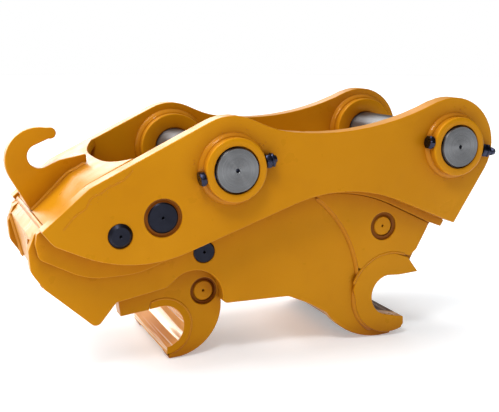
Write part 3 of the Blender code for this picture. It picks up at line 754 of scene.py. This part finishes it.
def build_fasteners():
    """Each big pin's cross bolt, with its nut and lock nut."""
    nuts = (("nut", NUT_SEAT, NUT_HEIGHT), ("lock_nut", NUT_SEAT + NUT_HEIGHT + NUT_GAP, LOCK_NUT_HEIGHT))
    for place, centre in (("stick", STICK), ("link", LINK)):
        bolt = f"{place}_pin_bolt"
        nut = middle(f"{place}_pin_nut")
        origin = Vector((centre.x, nut.y, centre.z))
        axis = (nut - origin).normalized()
        tip = max((vert.co - origin).dot(axis) for vert in frame["nodes"][bolt].data.vertices) / MM
        head = hex_profile(0, HEAD_HEIGHT, FLATS)
        profile = [(-NUT_SEAT - height, r) for height, r in head[::-1]] + [(-NUT_SEAT, SHANK_R)]
        profile += thread(NUT_SEAT - 10, tip - 1.5, SHANK_R) + [(tip, SHANK_R - 1.6), (tip, 0)]
        lathe(f"{bolt}_threaded", bolt, origin, axis, profile, 72, FLATS, replaced=(bolt,))
        for name, start, height in nuts:
            node = f"{place}_pin_{name}"
            profile = hex_profile(start, height, FLATS, SHANK_R + 0.2)
            lathe(f"{node}_chamfered", node, origin, axis, profile, 72, FLATS, replaced=(node,))


# ---------------------------------------------------------------- hydraulic cylinder
CYLINDER_RUN = (middle("cylinder_rod_pin") - middle("cylinder_base_pin")).normalized()
BARREL_R, BARREL_BORE_R, ROD_R = 45.0, 32.5, 20.0


def span(node, way):
    """How far a node reaches from the cylinder's base pin along a direction, in millimetres."""
    base = middle("cylinder_base_pin")
    reach = [(vert.co - base).dot(way) / MM for vert in frame["nodes"][node].data.vertices]
    return min(reach), max(reach)


def barrel_profile(start, end):
    """A tube with a rounded closed end and a shallow wrench land before its mouth."""
    round_r, steps, floor = 6, 4, 16
    profile = [(start, 0), (start, BARREL_R - round_r)]
    profile += [(start + round_r * i / steps, BARREL_R - round_r * (1 - i / steps) ** 2)
                for i in range(1, steps + 1)]
    return profile + [(end - 22, BARREL_R), (end - 20, BARREL_R - 1.2), (end - 2, BARREL_R - 1.2),
                      (end, BARREL_R - 2.4), (end, BARREL_BORE_R), (start + floor, BARREL_BORE_R),
                      (start + floor, 0)]


def gland_profile(start, end):
    """A gland nut with three grooves round its flange and a seat for the wiper."""
    face, seat = end - 16, end - 2.5
    profile = [(start, ROD_R + 0.3), (start, BARREL_BORE_R - 0.3), (face, BARREL_BORE_R - 0.3),
               (face, BARREL_R)]
    for groove in range(3):
        top = face + 3 * groove
        profile += [(top + 3, BARREL_R), (top + 3.8, BARREL_R - 0.9), (top + 5.2, BARREL_R - 0.9)]
    return profile + [(end - 3, BARREL_R), (end, BARREL_R - 3), (end, ROD_R + 7), (seat, ROD_R + 6),
                      (seat, ROD_R + 0.3)]


def build_cylinder():
    base = middle("cylinder_base_pin")
    start, end = span("cylinder_barrel", CYLINDER_RUN)
    lathe("cylinder_barrel_tube", "cylinder_barrel", base, CYLINDER_RUN, barrel_profile(start, end), 96,
          replaced=("cylinder_barrel",))
    weld_start = start
    start, end = span("cylinder_gland", CYLINDER_RUN)
    lathe("cylinder_gland_nut", "cylinder_gland", base, CYLINDER_RUN, gland_profile(start, end), 96,
          replaced=("cylinder_gland",))
    wiper = [(end - 2.4, ROD_R + 0.25), (end - 2.4, ROD_R + 5.6), (end + 1.0, ROD_R + 5.2),
             (end + 3.6, ROD_R + 1.6), (end + 3.6, ROD_R + 0.25)]
    lathe("rod_wiper_seal", "cylinder_gland", base, CYLINDER_RUN, wiper, 72, finish="seal")
    start, end = span("cylinder_rod", CYLINDER_RUN)
    stub = 34
    rod = [(start, 0), (start, ROD_R - 6), (start + stub, ROD_R - 6), (start + stub, ROD_R),
           (end, ROD_R), (end, 0)]
    lathe("cylinder_rod_ground", "cylinder_rod", base, CYLINDER_RUN, rod, 96,
          replaced=("cylinder_rod",))
    weld_ring("cylinder_base_weld", "cylinder_barrel", base, weld_start, 34.0, 5.0)
    for node in ("base_port_fitting", "rod_port_fitting"):
        build_port(node)


def weld_ring(name, node, base, height, radius, leg):
    """A weld round the cylinder where its eye meets the tube."""
    side = CYLINDER_RUN.cross(ACROSS).normalized()
    count = round(2 * math.pi * radius / BEAD_STEP)
    path, normals = [], []
    for i in range(count):
        a = 2 * math.pi * i / count
        away = side * math.cos(a) + ACROSS * math.sin(a)
        path.append(base + (CYLINDER_RUN * (height - leg / 3) + away * radius) * MM)
        normals.append((away - CYLINDER_RUN).normalized())
    return bead(name, node, path, normals, leg * 1.4, leg * 0.2, leg * 0.6, True)


def build_port(node):
    """A port boss with a hexagonal adapter and its plug."""
    up = Vector((CYLINDER_RUN.z, 0, -CYLINDER_RUN.x))
    if up.z < 0:
        up = -up
    low, high = span(node, up)
    top = high - low
    foot = middle(node) + up * ((low - (low + high) / 2) * MM)
    profile = [(0, 0), (0, 11), (3.5, 11), (4, 9.8), (4.5, 9.8), (5.2, 11), (top - 6.5, 11),
               (top - 5.5, 9.5), (top - 5.5, 7.4), (top - 0.8, 7.4), (top, 6.6), (top, 3),
               (top - 3, 3), (top - 3, 0)]
    lathe(f"{node}_adapter", node, foot, up, profile, 72, 20.0, replaced=(node,))


# ---------------------------------------------------------------- hub and spring
def build_inner_pieces():
    node = "moving_hook_hub"
    half, hub_r, bore = half_width(node), boss_radius(node), 20.3
    profile = [(-half, bore), (-half, hub_r), (half, hub_r), (half, bore)]
    lathe("moving_hook_hub_tube", node, middle(node), (0, 1, 0), profile, 96, replaced=(node,))
    for side, sign in SIDES:
        ring_bead(f"moving_hook_hub_weld_{side}", node, HOOK_PIVOT, hub_r, sign * half, -sign, 6.0)
    spring = frame["nodes"]["latch_spring"]
    bm = bmesh.new()
    bm.from_mesh(spring.data)
    bmesh.ops.remove_doubles(bm, verts=bm.verts, dist=SAME_PLACE)
    bmesh.ops.dissolve_limit(bm, angle_limit=math.radians(0.1), verts=bm.verts, edges=bm.edges)
    bmesh.ops.subdivide_edges(bm, edges=bm.edges, cuts=1, use_grid_fill=True, smooth=0.0)
    piece("latch_spring_wire", bm, "latch_spring", replaced=("latch_spring",))


# ---------------------------------------------------------------- seams
ROOF_EDGE, ROOF_BEND = (-327, -72), (-254, -8)
ROOF_RISE = 60 / 134
RIDGE = (-330.0, -75.4)
NOSE_SEAM = [(-303, -73), (-282, -52), (-264, -41), (-253, -25), (-237, -18), (-223, -10), (-195, 1),
             (-179, 16)]
LIFTING_HOOK_FOOT = [(-325, -70.3), (-300, -48.4), (-277, -28.2), (-254, -8)]
NOSE_FRONT = [(-348, -97), (-340, -140), (-331, -187)]
DECK = [(44, -86.5), (200, -86.5), (362, -86.5)]
BELLY = [(130, -261), (165, -277), (204, -295)]
PAD_R, PAD_SEAM_R, SADDLE_R = 78, 87, 55.2
PLATE_LEG = 6.0


def roof(x):
    """Height of the roof's upper face behind its bend."""
    return ROOF_BEND[1] + ROOF_RISE * (x - ROOF_BEND[0])


def build_seams():
    slope = (ALONG * (ROOF_BEND[0] - ROOF_EDGE[0]) + UP * (ROOF_BEND[1] - ROOF_EDGE[1])).normalized()
    slope_out = -slope.cross(ACROSS).normalized()
    if slope_out.z < 0:
        slope_out = -slope_out
    ridge_weld(slope_out)
    for side, sign in SIDES:
        nose_side_welds(side, sign, slope_out)
        fixed_hook_welds(side, sign)
        lip = arc_points(MOVING_MOUTH, SADDLE_R, 112, -76, sign * HOOK_FACE)
        face_bead(f"saddle_seam_{side}", f"moving_hook_plate_{side}", lip, sign, 4.0, 0.9)
        cross_plate_welds(side, sign)


def ridge_weld(slope_out):
    """The bead across the nose, where its roof meets its front."""
    reach = ROOF_HALF - 2
    count = round(2 * CROSS_HALF / BEAD_STEP)
    ridge = [at(*RIDGE, -reach + 2 * reach * i / count) for i in range(count + 1)]
    ridge_out = (slope_out - ALONG * 0.8).normalized()
    bead("nose_ridge_weld", "nose_front_plate", ridge, [ridge_out] * len(ridge), 10.0, 2.4, 9.0, seed=3)


def nose_side_welds(side, sign, slope_out):
    """The long bead on an ear's nose, and the fillet on one side of the lifting hook's foot."""
    seam = [at(x, z, sign * EAR_FACE) for x, z in NOSE_SEAM]
    face_bead(f"nose_seam_weld_{side}", f"upper_side_plate_{side}", seam, sign, 3.4, 0.55)
    hook_half = half_width("lifting_hook")
    foot = [at(x, z, sign * hook_half) for x, z in LIFTING_HOOK_FOOT]
    foot += [at(x, roof(x), sign * hook_half) for x in (-242, -230, -218)]
    corner_bead(f"lifting_hook_weld_{side}", "lifting_hook", foot, slope_out, ACROSS * sign, 4.5)


def fixed_hook_welds(side, sign):
    """The fillets round the fixed hook's cheek and pad, and the bead between the two."""
    low = f"lower_side_plate_{side}"
    cheek = arc_points(CHEEK_CURVE, CHEEK_R, 50, 4.5, sign * LOWER_FACE)
    arc_corner(f"hook_cheek_weld_{side}", low, cheek, CHEEK_CURVE, sign, PLATE_LEG, -1)
    pad = arc_points(FIXED_MOUTH, PAD_R, 130, 238, sign * LOWER_FACE)
    arc_corner(f"hook_pad_weld_{side}", low, pad, FIXED_MOUTH, sign, PLATE_LEG)
    gap = arc_points(FIXED_MOUTH, PAD_SEAM_R, 158, 64, sign * (PAD_FACE - 1.6))
    face_bead(f"hook_pad_seam_{side}", f"fixed_hook_pad_{side}", gap, sign, 6.5, 2.0)


def cross_plate_welds(side, sign):
    """The fillets inside, along the ends of the nose's front, the deck and the belly."""
    low, inside = f"lower_side_plate_{side}", -(ACROSS * sign)
    for name, points, face in (("nose_front", NOSE_FRONT, -ALONG), ("deck", DECK, UP),
                               ("belly", BELLY, -UP)):
        run = [at(x, z, sign * CROSS_HALF) for x, z in points]
        corner_bead(f"{name}_weld_{side}", low, run, face, inside, PLATE_LEG)


def arc_corner(name, node, points, centre, out, leg, turn=1):
    """A fillet weld on a side face along an arc, outside it, or inside it where turn is -1."""
    path, normals = [], []
    for point in even(points, BEAD_STEP):
        away = point - at(*centre)
        away = (away - ACROSS * away.dot(ACROSS)).normalized() * turn
        path.append(point + (away + ACROSS * out) * (leg * MM / 2))
        normals.append((away + ACROSS * out).normalized())
    return bead(name, node, path, normals, leg * math.sqrt(2), leg * 0.16, leg / math.sqrt(2), seed=leg)


BOSS_DROPS, NOSE_DROPS = 26, 18


def build_spatter():
    """Small beads of weld metal under the paint, round the bosses and along the nose's long bead."""
    rng = random.Random(11)
    for side, sign in SIDES:
        bm = bmesh.new()
        face = sign * (EAR_FACE - SUNK)
        for centre in ((0.0, 0.0), (PIN_SPACING, 0.0)):
            for _ in range(BOSS_DROPS):
                x, z = ray(centre, rng.uniform(0, 360), rng.uniform(66, 80))
                drop(bm, at(x, z, face), rng.uniform(0.5, 1.2))
        for _ in range(NOSE_DROPS):
            x = rng.uniform(-300, -180)
            z = -73 + (x + 303) * 0.72 + rng.uniform(-6, 6)
            drop(bm, at(x, z, face), rng.uniform(0.4, 0.9))
        piece(f"weld_spatter_{side}", bm, f"upper_side_plate_{side}", "weld_paint")


def drop(bm, point, size):
    bmesh.ops.create_icosphere(bm, subdivisions=2, radius=size * MM, matrix=Matrix.Translation(point))


# ---------------------------------------------------------------- studio, in metres
FLOOR_R, FLOOR_DROP = 14.0, 0.0005
COUPLER_MIDDLE = Vector((0, 0, 0.25))
WHITE = (1.0, 1.0, 1.0, 1)


def build_floor():
    shade = Shade("studio_floor", Emission_Color=(0.93, 0.97, 1.0, 1.0), Emission_Strength=0.34)
    tone = shade.spread(shade.noise(1.5, 3.0), 0.3, 0.7)
    shade.drive("Base Color", shade.mix(tone, (0.84, 0.86, 0.88), (0.86, 0.88, 0.90)))
    shade.drive("Roughness", shade.spread(shade.noise(60.0, 3.0), 0.3, 0.7, 0.7, 0.85))
    bm = bmesh.new()
    bmesh.ops.create_circle(bm, cap_ends=True, segments=96, radius=FLOOR_R)
    mesh = bpy.data.meshes.new("studio_floor")
    bm.to_mesh(mesh)
    bm.free()
    mesh.materials.append(shade.material)
    floor = bpy.data.objects.new("studio_floor", mesh)
    floor.location.z = -FLOOR_DROP
    bpy.context.scene.collection.objects.link(floor)


def glow(tree, way, direction, bright, start, end):
    """Brightness that rises from none to bright as a ray turns towards a direction."""
    toward = tree.nodes.new("ShaderNodeVectorMath")
    toward.operation = "DOT_PRODUCT"
    toward.inputs[1].default_value = Vector(direction).normalized()
    tree.links.new(way, toward.inputs[0])
    level = tree.nodes.new("ShaderNodeMapRange")
    level.interpolation_type = "SMOOTHSTEP"
    for key, value in (("From Min", start), ("From Max", end), ("To Min", 0.0), ("To Max", bright)):
        level.inputs[key].default_value = value
    tree.links.new(toward.outputs["Value"], level.inputs["Value"])
    return level.outputs["Result"]


def build_world():
    """A room that is lighter up on the left, with a window behind, and a white backdrop."""
    world = bpy.data.worlds.new("studio")
    world.use_nodes = True
    tree = world.node_tree
    sky = tree.nodes["Background"]
    sky.inputs["Color"].default_value = WHITE
    way = tree.nodes.new("ShaderNodeTexCoord").outputs["Generated"]
    room = glow(tree, way, (-0.6, 0.3, 0.74), 0.62, -0.45, 0.9)
    window = glow(tree, way, (-0.12, 0.93, 0.36), 3.2, 0.84, 0.97)
    both = tree.nodes.new("ShaderNodeMath")
    tree.links.new(room, both.inputs[0])
    tree.links.new(window, both.inputs[1])
    level = tree.nodes.new("ShaderNodeMix")
    level.inputs["B"].default_value = 1.0
    seen = tree.nodes.new("ShaderNodeLightPath").outputs["Is Camera Ray"]
    tree.links.new(seen, level.inputs["Factor"])
    tree.links.new(both.outputs["Value"], level.inputs["A"])
    tree.links.new(level.outputs["Result"], sky.inputs["Strength"])
    bpy.context.scene.world = world
    bpy.context.scene.view_settings.view_transform = "Standard"


def build_lamps():
    lamp("front_softbox", (-0.48, -0.80, 1.40), 0.35, 8.8)
    lamp("left_softbox", (-2.2, 0.4, 1.2), 1.2, 12.0)
    sun = bpy.data.lights.new("overhead_sky", "SUN")
    sun.energy = 2.0
    sun.angle = math.radians(40)
    made = bpy.data.objects.new("overhead_sky", sun)
    made.rotation_euler = (math.radians(-12), math.radians(-30), 0)
    bpy.context.scene.collection.objects.link(made)


def lamp(name, place, width, power):
    """A square area light that faces the coupler's middle."""
    data = bpy.data.lights.new(name, "AREA")
    data.shape = "SQUARE"
    data.size = width
    data.energy = power
    made = bpy.data.objects.new(name, data)
    made.location = place
    aim = COUPLER_MIDDLE - Vector(place)
    made.rotation_euler = aim.to_track_quat("-Z", "Y").to_euler()
    bpy.context.scene.collection.objects.link(made)


def build_camera():
    data = bpy.data.cameras.new("camera")
    data.sensor_width = 36
    data.lens = 62.405
    data.clip_start = 0.05
    made = bpy.data.objects.new("camera", data)
    made.location = (-0.63658, -1.60226, 0.58186)
    made.rotation_euler = [math.radians(a) for a in (79.337, -0.193, -22.266)]
    bpy.context.scene.collection.objects.link(made)
    bpy.context.scene.camera = made


build_camera()
build_plates()
build_bosses()
build_pins()
build_recess_shade()
build_fasteners()
build_cylinder()
build_inner_pieces()
build_seams()
build_spatter()
build_floor()
build_world()
build_lamps()
for node, obj in frame["nodes"].items():
    obj.data.materials.clear()
    obj.data.materials.append(MATERIAL[SLOT[node]])
